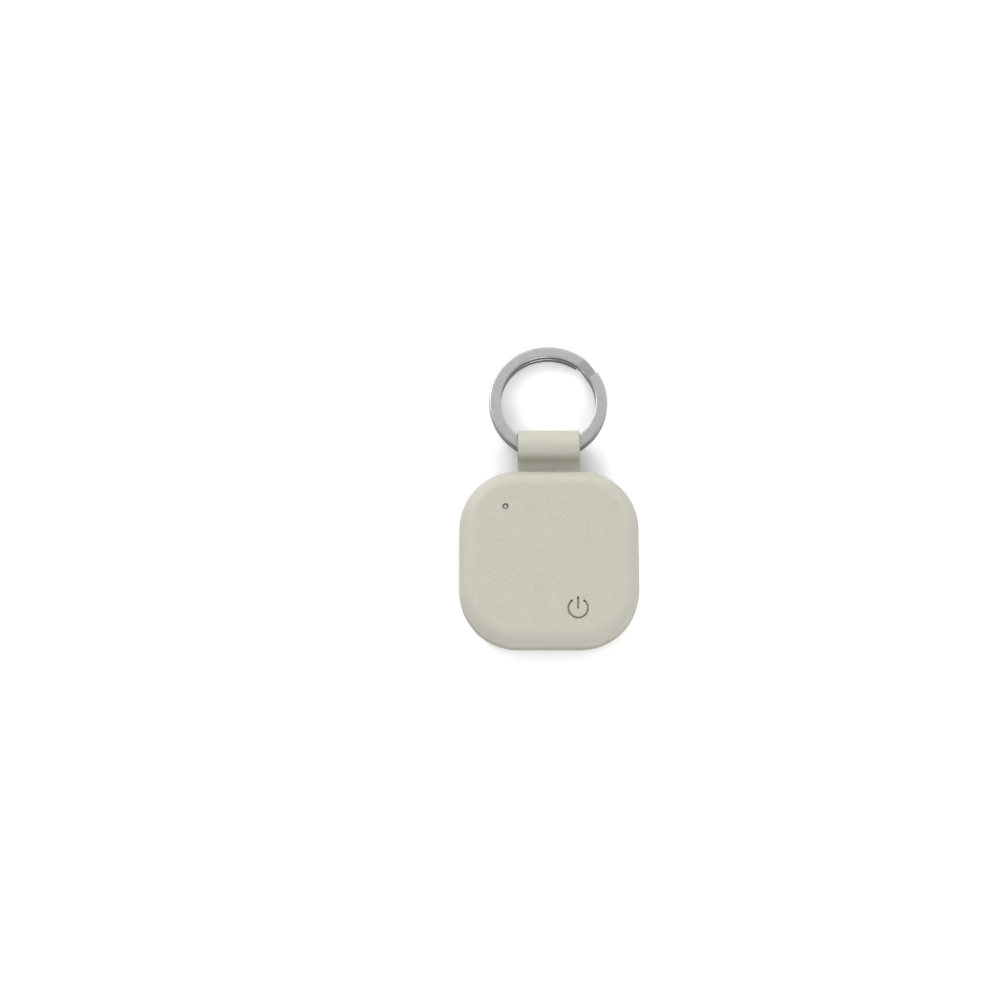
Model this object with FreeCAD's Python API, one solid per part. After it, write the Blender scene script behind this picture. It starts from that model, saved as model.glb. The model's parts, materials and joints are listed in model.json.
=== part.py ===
import FreeCAD, Part
import math
import os

# Bluetooth tracker tag: a leather-covered rounded-square case with a leather strap loop and a split ring.
# Millimetres. The origin is the centre of the case's flat back, +Z is out of its face, +Y is towards the ring.
V = FreeCAD.Vector
ORIGIN = V(0, 0, 0)
X_AXIS = V(1, 0, 0)
Z_AXIS = V(0, 0, 1)
STEP_FOLDER = "parts"
FAR = 60.0                      # further than any part reaches
OVER = 1.0                      # how far a cutter runs past what it cuts
TOUCH = 0.01                    # between parts that rest on each other

# Case
CASE_HALF = 19.0                # half of the case's width and height
CASE_CORNER_R = 12.4            # outline corner radius
CASE_T = 8.6                    # overall thickness
FRONT_ROUND = 3.5               # edge rounding towards the face
BACK_ROUND = 2.3                # edge rounding towards the back
SEAM_Z = CASE_T / 2             # parting plane of both shells and both covers
LEATHER_T = 0.8
GLUE = 0.02                     # glue line between a cover and its shell
WALL = 1.0                      # shell wall
SEAM_GAP = 0.06                 # between the two covers
SEAM_GROOVE = (0.25, 0.35)      # depth and height of the groove along the seam
CAVITY_INSET = LEATHER_T + GLUE + WALL
FLOOR_Z = CAVITY_INSET
CEILING_Z = CASE_T - CAVITY_INSET

# Lap joint and seal between the shells
LIP_T = 0.45
LIP_H = 0.8
LIP_ROOT = 0.4                  # how far the lip is let into the front shell
LIP_CLEAR = 0.05
GASKET_H = 0.34

# Strap
STRAP_HALF_W = 6.6
STRAP_T = 0.78                  # one ply of leather
STRAP_Z = SEAM_Z
EYE_R = 2.82                    # inside of the loop that the ring runs in
EYE_Y = 24.6                    # axis of the loop
FLEX_Y = 19.3                   # axis that the strap bends about, where the two plies start to part
FLEX_CLEAR = 0.08
SLOT_CLEAR = 0.1                # around the strap in the case's slot
TAIL_END_Y = 13.6               # inner end of the slot that holds the tail

# Split ring
RING_R_OUT = 12.7
RING_R_IN = 10.2
COIL_T = 1.25                   # thickness of the flat wire
COIL_GAP = 0.1                  # between the two turns
WIRE_ROUND = 0.25
RAMP_DEG = (33.0, 53.0)         # where the wire crosses from the back turn to the front turn
RAMP_END_GAP_DEG = 1.0          # between the crossing and each end of the wire
RAMP_SECTIONS = 9
REST_CLEAR = 0.02               # between the ring's far edge and the surface that the tag lies on

# Circuit board
BOARD_Z = 5.0
BOARD_T = 0.6
BOARD_TOP = BOARD_Z + BOARD_T
BOARD_EDGE_CLEAR = 0.5
BOARD_NOTCH = (7.4, 13.2)       # half width and start of the notch around the strap's tail
CHIP_SIZE = (6.0, 6.0, 0.6)
CAN_XY = (-7.5, -2.0)
CAN_SIZE = (9.5, 9.5, 0.9)
CAN_SHEET = 0.12
CHARGE_CHIP = (10.4, 0.6, 3.0, 3.0, 0.55)       # x, y and the three sizes
CRYSTAL = (-8.6, 5.2, 2.0, 1.6, 0.45)
ANTENNA = (-6.2, -14.4, 5.2, 1.8, 0.8)
PASSIVE_SIZE = (1.0, 0.5, 0.35)
PASSIVE_PITCH = 1.25
PASSIVE_ROWS = ((-4.6, 6.6, 3), (-5.2, 9.2, 4), (7.2, -2.4, 4))     # x, y and count
PASSIVE_COLUMNS = ((-0.8, -12.4, 5), (-9.6, -11.8, 3), (4.0, 1.0, 3))
INDUCTOR_SIZE = (2.0, 1.6, 0.7)
INDUCTOR_PLACES = ((12.2, -4.6), (0.8, -4.6))

# Button and its switch
BUTTON_XY = (5.96, -11.0)
BUTTON_TRAVEL = 0.2
BUTTON_CLEAR = 0.1              # around the cap and flange
BUTTON_CAP_R = 3.0
BUTTON_CAP_CLEAR = 0.06         # between the cap and the cover over it
BUTTON_FLANGE_R = 3.7
BUTTON_FLANGE_T = 0.4
BUTTON_FLANGE_LOW = 6.65
BUTTON_POST_R = 0.9
BUTTON_POST_H = 0.18
COUNTERBORE_TOP = BUTTON_FLANGE_LOW + BUTTON_FLANGE_T + 0.05
SWITCH_SIDE = 4.4
SWITCH_BASE_TOP = BOARD_TOP + 0.5
SWITCH_FLOOR = BOARD_TOP + 0.06
SWITCH_WELL_R = 1.6
SWITCH_FRAME_SIDE = 4.2
SWITCH_FRAME_T = 0.08
SWITCH_STEM_R = 0.85
SWITCH_STEM_CLEAR = 0.1
SWITCH_STEM_TOP = BUTTON_FLANGE_LOW - BUTTON_POST_H - 0.02
DOME_RISE = 0.28
DOME_RIM_R = 1.45
DOME_SHEET = 0.05

# Standby mark pressed into the face over the button
MARK_R = 2.05
MARK_STROKE = 0.4
MARK_DEPTH = 0.25
MARK_GAP_DEG = 41.0             # half of the opening at the top of the ring
MARK_BAR = (0.0, 2.2)           # centres of the upright stroke's round ends, from the ring's centre
THIN_RING_R = (3.1, 3.7)        # ring thinned from inside the front cover, around the button
THIN_RING_DEPTH = 0.3

# Status light
LIGHT_XY = (-9.25, 10.8)
LIGHT_HOLE_R = 0.57
LIGHT_PIPE_R = 0.5
LIGHT_PIPE_CLEAR = 0.03
LIGHT_PIPE_FLANGE_R = 1.1
LIGHT_PIPE_FLANGE_T = 0.36
LIGHT_PIPE_TOP = 8.3
LED_SIZE = (1.6, 0.8, 0.6)

# Fasteners
BOARD_SCREW_XY = (13.2, 9.5)
BOARD_BOSS_R = 1.5
STRAP_SCREW_XY = (4.2, 15.3)
STRAP_BOSS_R = 1.3
BOSS_ROOT = 0.3                 # how far a boss is let into the floor
PILOT_FLOOR = 0.4               # floor left under a pilot hole
SCREW_SHANK_R = 0.7
SCREW_PILOT_R = 0.72
SCREW_PASS_R = 0.78             # hole that a shank passes through
SCREW_TIP_Z = 2.62
SCREW_HEAD_R = 1.2
SCREW_HEAD_T = 0.55
SCREW_RECESS = (1.5, 0.3, 0.3)  # length, width and depth of each arm of the cross
CLAMP_PLATE = (12.0, 3.0, 0.4)
CLAMP_PLATE_CORNER = 0.8

# Buzzer
BUZZER_XY = (6.8, 4.2)
BUZZER_PLATE_R = 6.5
BUZZER_PLATE_T = 0.15
BUZZER_PLATE_LOW = CEILING_Z - 0.02 - BUZZER_PLATE_T
BUZZER_CERAMIC_R = 4.8
BUZZER_CERAMIC_T = 0.12
CONTACT_SHEET = 0.1
CONTACT_HALF_W = 0.4
CONTACT_OFFSETS = (0.4, 5.9)    # from the buzzer's centre: under the ceramic, and under the plate's rim

# Charging coil, its shield and the battery, from the back
COIL_LOW = FLOOR_Z + 0.02
COIL_WIRE_T = 0.26
COIL_R = (6.0, 12.9)
COIL_TURNS = 11
COIL_BAND = 0.45
LEAD_R = 0.2
LEAD_BEND_R = 0.5
LEAD_Z = COIL_LOW + COIL_WIRE_T + 0.07
LEAD_Y = (-1.0, -2.4)
LEAD_RISE_X = -14.2
CROSS_LEAD = (0.6, 0.1)         # width and thickness of the flat lead that crosses the turns
FERRITE_R = 13.3
FERRITE_T = 0.2
FERRITE_LOW = LEAD_Z + CROSS_LEAD[1] / 2 + 0.02
FERRITE_NOTCH = (-12.7, -3.2, -0.2)     # start in x, and the two sides in y
BATTERY_SIZE = (21.0, 23.0, 2.4)
BATTERY_Y = -1.0
BATTERY_LOW = FERRITE_LOW + FERRITE_T + 0.04
BATTERY_EDGE_R = 0.9
BATTERY_SEAL = (1.0, 0.2, 0.6)  # length, thickness and setback from the sides
PROTECTION_SIZE = (12.0, 1.9, 0.5)
PROTECTION_Y = BATTERY_Y + BATTERY_SIZE[1] / 2 + 1.1
PROTECTION_LOW = BATTERY_LOW + 0.7
PROTECTION_CHIP = (2.0, 1.2, 0.45)
PROTECTION_CHIP_X = 3.4
BATTERY_LEAD_R = 0.22
BATTERY_LEAD_X = (0.7, 1.7)     # at the protection board, and at the main board
BATTERY_LEAD_BEND_R = 0.3


# ---------------------------------------------------------------- shared shapes
def box(x0, x1, y0, y1, z0, z1):
    return Part.makeBox(x1 - x0, y1 - y0, z1 - z0, V(x0, y0, z0))


def centred_box(x, y, z0, size):
    size_x, size_y, size_z = size
    return box(x - size_x / 2, x + size_x / 2, y - size_y / 2, y + size_y / 2, z0, z0 + size_z)


def disc(x, y, z0, z1, radius):
    return Part.makeCylinder(radius, z1 - z0, V(x, y, z0))


def tube(x, y, z0, z1, r_in, r_out):
    return disc(x, y, z0, z1, r_out).cut(disc(x, y, z0, z1, r_in))


def x_cylinder(y, z, radius, half_length):
    return Part.makeCylinder(radius, 2 * half_length, V(-half_length, y, z), X_AXIS)


def fuse_all(shapes):
    return shapes[0].multiFuse(shapes[1:]).removeSplitter()


def cut_all(shape, cutters):
    for cutter in cutters:
        shape = shape.cut(cutter)
    return shape


def above(z):
    return box(-FAR, FAR, -FAR, FAR, z, FAR)


def below(z):
    return box(-FAR, FAR, -FAR, FAR, -FAR, z)


def rounded_block(half_x, half_y, corner_r, z0, z1):
    """An upright block with rounded corners."""
    block = box(-half_x, half_x, -half_y, half_y, z0, z1)
    upright = [e for e in block.Edges if abs(e.Vertexes[0].Z - e.Vertexes[1].Z) > (z1 - z0) / 2]
    return block.makeFillet(corner_r, upright)


def case_prism(inset, z0, z1):
    """A straight-sided block with the case's outline, inset all round."""
    half = CASE_HALF - inset
    return rounded_block(half, half, CASE_CORNER_R - inset, z0, z1)


def profile_arc(centre_x, centre_z, radius, from_deg, to_deg):
    """An arc in the XZ plane."""
    points = []
    for deg in (from_deg, (from_deg + to_deg) / 2, to_deg):
        angle = math.radians(deg)
        points.append(V(centre_x + radius * math.cos(angle), 0, centre_z + radius * math.sin(angle)))
    return Part.Arc(*points).toShape()


def case_block(inset):
    """The whole case, inset all round: one edge profile, turned at the corners and run between them."""
    side, low, high = CASE_CORNER_R - inset, inset, CASE_T - inset
    back, front = BACK_ROUND - inset, FRONT_ROUND - inset
    profile = Part.Face(Part.Wire([
        Part.makeLine(V(0, 0, low), V(side - back, 0, low)),
        profile_arc(side - back, low + back, back, -90, 0),
        Part.makeLine(V(side, 0, low + back), V(side, 0, high - front)),
        profile_arc(side - front, high - front, front, 0, 90),
        Part.makeLine(V(side - front, 0, high), V(0, 0, high)),
        Part.makeLine(V(0, 0, high), V(0, 0, low)),
    ]))
    centre = CASE_HALF - CASE_CORNER_R
    corner = profile.revolve(ORIGIN, Z_AXIS, 90).translated(V(centre, centre, 0))
    straight = profile.extrude(V(0, 2 * centre, 0)).translated(V(centre, -centre, 0))
    pieces = [box(-centre, centre, -centre, centre, low, high)]
    for turn in range(4):
        pieces.append(corner.rotated(ORIGIN, Z_AXIS, 90 * turn))
        pieces.append(straight.rotated(ORIGIN, Z_AXIS, 90 * turn))
    return fuse_all(pieces)


def mirrored_places(xy, count):
    """Two places, left and right, or four at the corners of a rectangle."""
    x, y = xy
    places = [(-x, y), (x, y)]
    if count == 4:
        places += [(-x, -y), (x, -y)]
    return places


def board_screw_places():
    return mirrored_places(BOARD_SCREW_XY, 4)


def strap_screw_places():
    return mirrored_places(STRAP_SCREW_XY, 2)


# ---------------------------------------------------------------- covers
def strap_slot():
    """The opening that holds the strap's tail in the covers and shells."""
    half_x, half_z = STRAP_HALF_W + SLOT_CLEAR, STRAP_T + SLOT_CLEAR
    return box(-half_x, half_x, TAIL_END_Y, CASE_HALF + OVER, STRAP_Z - half_z, STRAP_Z + half_z)


def seam_groove():
    depth, height = SEAM_GROOVE
    band = (SEAM_Z - height / 2, SEAM_Z + height / 2)
    return case_prism(-OVER, *band).cut(case_prism(depth, *band))


def standby_mark():
    """Cutter for the mark: an open ring and an upright stroke, all with round ends."""
    x, y = BUTTON_XY
    low, high = CASE_T - MARK_DEPTH, CASE_T + OVER
    half = MARK_STROKE / 2
    gap = math.radians(MARK_GAP_DEG)
    side, up = math.sin(gap), math.cos(gap)
    reach = 2 * MARK_R
    corners = [V(x, y, low), V(x + reach * side, y + reach * up, low), V(x - reach * side, y + reach * up, low)]
    opening = Part.Face(Part.makePolygon(corners + corners[:1])).extrude(V(0, 0, high - low))
    pieces = [tube(x, y, low, high, MARK_R - half, MARK_R + half).cut(opening)]
    for direction in (-1, 1):
        pieces.append(disc(x + direction * MARK_R * side, y + MARK_R * up, low, high, half))
    pieces.append(box(x - half, x + half, y + MARK_BAR[0], y + MARK_BAR[1], low, high))
    for end in MARK_BAR:
        pieces.append(disc(x, y + end, low, high, half))
    return fuse_all(pieces)


def front_leather_cover(case, inside):
    thin_low = CASE_T - LEATHER_T
    cutters = [
        strap_slot(),
        seam_groove(),
        standby_mark(),
        disc(*LIGHT_XY, CEILING_Z, CASE_T + OVER, LIGHT_HOLE_R),
        tube(*BUTTON_XY, thin_low - GLUE, thin_low + THIN_RING_DEPTH, *THIN_RING_R),
    ]
    return cut_all(case.cut(inside).common(above(SEAM_Z + SEAM_GAP / 2)), cutters)


def rear_leather_cover(case, inside):
    return cut_all(case.cut(inside).common(below(SEAM_Z - SEAM_GAP / 2)), [strap_slot(), seam_groove()])


# ---------------------------------------------------------------- shells
def front_shell(outside, inside):
    low, high = SEAM_Z - LIP_H, SEAM_Z + LIP_ROOT
    lip = case_prism(CAVITY_INSET - LIP_T, low, high).cut(case_prism(CAVITY_INSET, low, high))
    shell = fuse_all([outside.cut(inside).common(above(SEAM_Z)), lip])
    cutters = [
        strap_slot(),
        disc(*BUTTON_XY, CEILING_Z - OVER, COUNTERBORE_TOP, BUTTON_FLANGE_R + BUTTON_CLEAR),
        disc(*BUTTON_XY, CEILING_Z, CASE_T, BUTTON_CAP_R + BUTTON_CLEAR),
        disc(*LIGHT_XY, CEILING_Z - OVER, CASE_T, LIGHT_PIPE_R + LIGHT_PIPE_CLEAR),
    ]
    return cut_all(shell, cutters)


def rear_shell(outside, inside):
    shell = outside.cut(inside).common(below(SEAM_Z))
    rebate_low = SEAM_Z - LIP_H - GASKET_H
    shell = shell.cut(case_prism(CAVITY_INSET - LIP_T - LIP_CLEAR, rebate_low, SEAM_Z + OVER))
    strap_boss_top = STRAP_Z - STRAP_T - TOUCH
    bosses = [(x, y, BOARD_Z, BOARD_BOSS_R) for x, y in board_screw_places()]
    bosses += [(x, y, strap_boss_top, STRAP_BOSS_R) for x, y in strap_screw_places()]
    pillars = [disc(x, y, FLOOR_Z - BOSS_ROOT, top, radius) for x, y, top, radius in bosses]
    pilots = [disc(x, y, FLOOR_Z + PILOT_FLOOR, top + OVER, SCREW_PILOT_R) for x, y, top, _ in bosses]
    return cut_all(fuse_all([shell, *pillars]), [strap_slot(), *pilots])


def seal_gasket():
    low = SEAM_Z - LIP_H - GASKET_H + TOUCH
    high = SEAM_Z - LIP_H - TOUCH
    outside = case_prism(CAVITY_INSET - LIP_T - LIP_CLEAR + TOUCH, low, high)
    return outside.cut(case_prism(CAVITY_INSET, low, high)).cut(strap_slot())


# ---------------------------------------------------------------- strap
def strap_outline():
    """Side face of the strap outside the case: a teardrop around the eye, on a two-ply root.

    Each flank starts level at the flex axis, in an arc that is tangent to the loop's own arc.
    """
    loop_r = EYE_R + STRAP_T
    span = EYE_Y - FLEX_Y
    flank_r = (span ** 2 + STRAP_T ** 2 - loop_r ** 2) / (2 * (loop_r - STRAP_T))
    slope = math.asin(span / (loop_r + flank_r))

    def flank_point(angle, side):
        rise = STRAP_T + flank_r * (1 - math.cos(angle))
        return V(0, FLEX_Y + flank_r * math.sin(angle), STRAP_Z + side * rise)

    upper, lower = ([flank_point(angle, side) for angle in (0, slope / 2, slope)] for side in (1, -1))
    edges = [
        Part.Arc(upper[0], V(0, FLEX_Y - STRAP_T, STRAP_Z), lower[0]),
        Part.Arc(*lower),
        Part.Arc(lower[2], V(0, EYE_Y + loop_r, STRAP_Z), upper[2]),
        Part.Arc(*reversed(upper)),
    ]
    return Part.Face(Part.Wire([edge.toShape() for edge in edges]))


def strap_loop():
    body = strap_outline().extrude(V(2 * STRAP_HALF_W, 0, 0)).translated(V(-STRAP_HALF_W, 0, 0))
    return body.cut(x_cylinder(EYE_Y, STRAP_Z, EYE_R, STRAP_HALF_W + OVER))


def strap_tail():
    """The strap's two plies inside the case, clamped between the shells."""
    start = TAIL_END_Y + SLOT_CLEAR
    tail = box(-STRAP_HALF_W, STRAP_HALF_W, start, FLEX_Y, STRAP_Z - STRAP_T, STRAP_Z + STRAP_T)
    cutters = [x_cylinder(FLEX_Y, STRAP_Z, STRAP_T + FLEX_CLEAR, STRAP_HALF_W + OVER)]
    cutters += [disc(x, y, 0, CASE_T, SCREW_PASS_R) for x, y in strap_screw_places()]
    return cut_all(tail, cutters)


def strap_clamp_plate():
    size_x, size_y, thickness = CLAMP_PLATE
    low = STRAP_Z + STRAP_T + TOUCH
    plate = rounded_block(size_x / 2, size_y / 2, CLAMP_PLATE_CORNER, low, low + thickness)
    plate = plate.translated(V(0, STRAP_SCREW_XY[1], 0))
    return cut_all(plate, [disc(x, y, 0, CASE_T, SCREW_PASS_R) for x, y in strap_screw_places()])


# ---------------------------------------------------------------- split ring
def ring_reach():
    """Distance from the ring's centre to the eye's axis: the middle of the arc that the strap holds."""
    inner_chord = math.sqrt(RING_R_IN ** 2 - STRAP_HALF_W ** 2)
    return (inner_chord + RING_R_OUT) / 2


def ring_tilt():
    """Tilt at which the ring's far edge just clears the surface that the case lies on, in radians."""
    far = ring_reach() + RING_R_OUT - WIRE_ROUND
    half = COIL_T + COIL_GAP / 2 - WIRE_ROUND
    drop = STRAP_Z - WIRE_ROUND - REST_CLEAR
    return math.asin(drop / math.hypot(far, half)) - math.atan2(half, far)


def wire_section(deg, middle):
    """The flat wire's section, with rounded corners, at an angle round the ring and a height on its axis."""
    half_w, half_t = (RING_R_OUT - RING_R_IN) / 2, COIL_T / 2
    bow = WIRE_ROUND * (1 - math.sqrt(0.5))
    bends = []
    for u, v in ((-1, -1), (1, -1), (1, 1), (-1, 1)):
        on_side = V(u * half_w, 0, v * (half_t - WIRE_ROUND))
        on_face = V(u * (half_w - WIRE_ROUND), 0, v * half_t)
        middle_point = V(u * (half_w - bow), 0, v * (half_t - bow))
        bends.append((on_side, middle_point, on_face) if u == v else (on_face, middle_point, on_side))
    edges = []
    for bend, following in zip(bends, bends[1:] + bends[:1]):
        edges.append(Part.Arc(*bend).toShape())
        edges.append(Part.makeLine(bend[2], following[0]))
    section = Part.Wire(edges)
    section.translate(V(RING_R_IN + half_w, 0, middle))
    section.rotate(ORIGIN, Z_AXIS, deg)
    return section


def split_ring():
    """Two turns of flat wire, and the short crossing between them."""
    level = (COIL_T + COIL_GAP) / 2
    start, end = RAMP_DEG
    turn = 360 - (end - start) - RAMP_END_GAP_DEG
    back_turn = Part.Face(wire_section(end + RAMP_END_GAP_DEG, -level)).revolve(ORIGIN, Z_AXIS, turn)
    front_turn = Part.Face(wire_section(end, level)).revolve(ORIGIN, Z_AXIS, turn)
    sections = []
    for index in range(RAMP_SECTIONS):
        t = index / (RAMP_SECTIONS - 1)
        rise = t * t * (3 - 2 * t)
        sections.append(wire_section(start + t * (end - start), level * (2 * rise - 1)))
    crossing = Part.makeLoft(sections, True, False)
    ring = fuse_all([back_turn, crossing, front_turn])
    tilt, reach = ring_tilt(), ring_reach()
    ring.rotate(ORIGIN, X_AXIS, -math.degrees(tilt))
    ring.translate(V(0, EYE_Y + reach * math.cos(tilt), STRAP_Z - reach * math.sin(tilt)))
    return ring


# ---------------------------------------------------------------- button, switch and light
def button_plunger():
    low = BUTTON_FLANGE_LOW
    return fuse_all([
        disc(*BUTTON_XY, low, CASE_T - LEATHER_T - BUTTON_CAP_CLEAR, BUTTON_CAP_R),
        disc(*BUTTON_XY, low, low + BUTTON_FLANGE_T, BUTTON_FLANGE_R),
        disc(*BUTTON_XY, low - BUTTON_POST_H, low, BUTTON_POST_R),
    ])


def switch_stem():
    low = SWITCH_FLOOR + DOME_RISE + 2 * TOUCH
    return disc(*BUTTON_XY, low, SWITCH_STEM_TOP, SWITCH_STEM_R)


def switch_base():
    base = centred_box(*BUTTON_XY, BOARD_TOP, (SWITCH_SIDE, SWITCH_SIDE, SWITCH_BASE_TOP - BOARD_TOP))
    return base.cut(disc(*BUTTON_XY, SWITCH_FLOOR, SWITCH_BASE_TOP + OVER, SWITCH_WELL_R))


def switch_frame():
    frame = centred_box(*BUTTON_XY, SWITCH_BASE_TOP, (SWITCH_FRAME_SIDE, SWITCH_FRAME_SIDE, SWITCH_FRAME_T))
    return frame.cut(disc(*BUTTON_XY, BOARD_TOP, CEILING_Z, SWITCH_STEM_R + SWITCH_STEM_CLEAR))


def switch_dome():
    """The snap dome that returns the button: a thin spherical cap."""
    sphere_r = (DOME_RIM_R ** 2 + DOME_RISE ** 2) / (2 * DOME_RISE)
    centre = V(*BUTTON_XY, SWITCH_FLOOR + DOME_RISE - sphere_r)
    skin = Part.makeSphere(sphere_r, centre).cut(Part.makeSphere(sphere_r - DOME_SHEET, centre))
    return skin.common(disc(*BUTTON_XY, SWITCH_FLOOR, SWITCH_BASE_TOP, SWITCH_WELL_R))


def light_pipe():
    flange_top = CEILING_Z - 0.02
    low = flange_top - LIGHT_PIPE_FLANGE_T
    return fuse_all([
        disc(*LIGHT_XY, low, flange_top, LIGHT_PIPE_FLANGE_R),
        disc(*LIGHT_XY, low, LIGHT_PIPE_TOP, LIGHT_PIPE_R),
    ])


def status_led():
    return centred_box(*LIGHT_XY, BOARD_TOP, LED_SIZE)


# ---------------------------------------------------------------- circuit board
def main_board():
    inset = CAVITY_INSET + BOARD_EDGE_CLEAR
    notch_x, notch_y = BOARD_NOTCH
    cutters = [box(-notch_x, notch_x, notch_y, CASE_HALF, 0, CASE_T)]
    cutters += [disc(x, y, 0, CASE_T, SCREW_PASS_R) for x, y in board_screw_places()]
    return cut_all(case_prism(inset, BOARD_Z, BOARD_TOP), cutters)


def shield_can():
    size_x, size_y, height = CAN_SIZE
    hollow = (size_x - 2 * CAN_SHEET, size_y - 2 * CAN_SHEET, height - CAN_SHEET)
    return centred_box(*CAN_XY, BOARD_TOP, CAN_SIZE).cut(centred_box(*CAN_XY, BOARD_TOP, hollow))


def bluetooth_chip():
    return centred_box(*CAN_XY, BOARD_TOP, CHIP_SIZE)


def board_part(place):
    x, y, *size = place
    return centred_box(x, y, BOARD_TOP, size)


def board_passives():
    """Chip capacitors and resistors in rows and columns, and two inductors."""
    places = [(x + PASSIVE_PITCH * i, y) for x, y, count in PASSIVE_ROWS for i in range(count)]
    places += [(x, y + PASSIVE_PITCH * i) for x, y, count in PASSIVE_COLUMNS for i in range(count)]
    solids = [centred_box(x, y, BOARD_TOP, PASSIVE_SIZE) for x, y in places]
    solids += [centred_box(x, y, BOARD_TOP, INDUCTOR_SIZE) for x, y in INDUCTOR_PLACES]
    return Part.makeCompound(solids)


# ---------------------------------------------------------------- fasteners
def screw(x, y, seat_z):
    """A cross-recessed pan head screw with its head on a seat."""
    head_top = seat_z + SCREW_HEAD_T
    length, width, depth = SCREW_RECESS
    body = disc(x, y, SCREW_TIP_Z, seat_z, SCREW_SHANK_R).fuse(disc(x, y, seat_z, head_top, SCREW_HEAD_R))
    arms = [centred_box(x, y, head_top - depth, (*arm, depth)) for arm in ((length, width), (width, length))]
    return cut_all(body, arms).removeSplitter()


def board_screws():
    return Part.makeCompound([screw(x, y, BOARD_TOP) for x, y in board_screw_places()])


def strap_screws():
    seat = STRAP_Z + STRAP_T + TOUCH + CLAMP_PLATE[2]
    return Part.makeCompound([screw(x, y, seat) for x, y in strap_screw_places()])


# ---------------------------------------------------------------- buzzer
def buzzer_plate():
    return disc(*BUZZER_XY, BUZZER_PLATE_LOW, BUZZER_PLATE_LOW + BUZZER_PLATE_T, BUZZER_PLATE_R)


def buzzer_ceramic():
    return disc(*BUZZER_XY, BUZZER_PLATE_LOW - BUZZER_CERAMIC_T, BUZZER_PLATE_LOW, BUZZER_CERAMIC_R)


def contact_spring(x, y, top):
    """A strip bent into a foot, a slanted leg and a contact."""
    low, sheet = BOARD_TOP, CONTACT_SHEET
    outline = [(-0.9, low), (0.5, low), (0.9, low + 0.25), (-0.5, top - sheet), (0.4, top - sheet), (0.4, top),
               (-0.9, top), (-0.9, top - sheet), (0.5, low + 0.25), (0.3, low + sheet), (-0.9, low + sheet)]
    points = [V(x + along, y - CONTACT_HALF_W, z) for along, z in outline]
    return Part.Face(Part.makePolygon(points + points[:1])).extrude(V(0, 2 * CONTACT_HALF_W, 0))


def buzzer_contacts():
    x, y = BUZZER_XY
    inner, outer = CONTACT_OFFSETS
    return Part.makeCompound([
        contact_spring(x + inner, y, BUZZER_PLATE_LOW - BUZZER_CERAMIC_T - TOUCH),
        contact_spring(x + outer, y, BUZZER_PLATE_LOW - TOUCH),
    ])


# ---------------------------------------------------------------- power
def half_turns(start_r, pitch):
    """A flat spiral as half circles about two centres, a quarter of a pitch each side of the middle."""
    edges = []
    for index in range(2 * COIL_TURNS):
        side = 1 if index % 2 == 0 else -1
        centre = side * pitch / 4
        radius = start_r + (2 * index + 1) * pitch / 4
        first, last = V(centre - side * radius, 0, COIL_LOW), V(centre + side * radius, 0, COIL_LOW)
        edges.append(Part.Arc(first, V(centre, side * radius, COIL_LOW), last).toShape())
    return edges, V(-start_r, 0, COIL_LOW), last


def charging_coil():
    """A flat winding, drawn as one band that spirals outwards."""
    r_in, r_out = COIL_R
    pitch = (r_out - r_in - COIL_BAND) / COIL_TURNS
    inner, inner_start, inner_end = half_turns(r_in, pitch)
    outer, outer_start, outer_end = half_turns(r_in + COIL_BAND, pitch)
    ends = [Part.makeLine(inner_start, outer_start), Part.makeLine(inner_end, outer_end)]
    outline = Part.Wire(Part.__sortEdges__(inner + outer + ends))
    return Part.Face(outline).extrude(V(0, 0, COIL_WIRE_T))


def bent_wire(points, radius, bend_r):
    """A round wire through the points, with an arc at each bend."""
    edges = []
    start = points[0]
    for before, corner, after in zip(points, points[1:], points[2:]):
        back, ahead = (before - corner).normalize(), (after - corner).normalize()
        half_angle = back.getAngle(ahead) / 2
        trim = bend_r / math.tan(half_angle)
        inward = (back + ahead).normalize()
        middle = corner + inward * (bend_r / math.sin(half_angle) - bend_r)
        edges.append(Part.makeLine(start, corner + back * trim))
        edges.append(Part.Arc(corner + back * trim, middle, corner + ahead * trim).toShape())
        start = corner + ahead * trim
    edges.append(Part.makeLine(start, points[-1]))
    section = Part.Wire(Part.makeCircle(radius, points[0], points[1] - points[0]))
    return Part.Wire(edges).makePipeShell([section], True, False)


def coil_leads():
    """Both ends of the coil, past the battery to the board; the inner end crosses the turns as a flat strip."""
    outer_x = -COIL_R[1] - 0.3
    leads = []
    for y in LEAD_Y:
        route = [V(outer_x, y, LEAD_Z), V(LEAD_RISE_X, y, LEAD_Z), V(LEAD_RISE_X, y, BOARD_Z - TOUCH)]
        leads.append(bent_wire(route, LEAD_R, LEAD_BEND_R))
    width, thickness = CROSS_LEAD
    strip = box(outer_x, -COIL_R[0] + COIL_BAND, LEAD_Y[1] - width / 2, LEAD_Y[1] + width / 2,
                LEAD_Z - thickness / 2, LEAD_Z + thickness / 2)
    return Part.makeCompound([leads[0], fuse_all([leads[1], strip])])


def ferrite_sheet():
    notch_x, notch_y0, notch_y1 = FERRITE_NOTCH
    sheet = disc(0, 0, FERRITE_LOW, FERRITE_LOW + FERRITE_T, FERRITE_R)
    return sheet.cut(box(-FAR, notch_x, notch_y0, notch_y1, 0, CASE_T))


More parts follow.
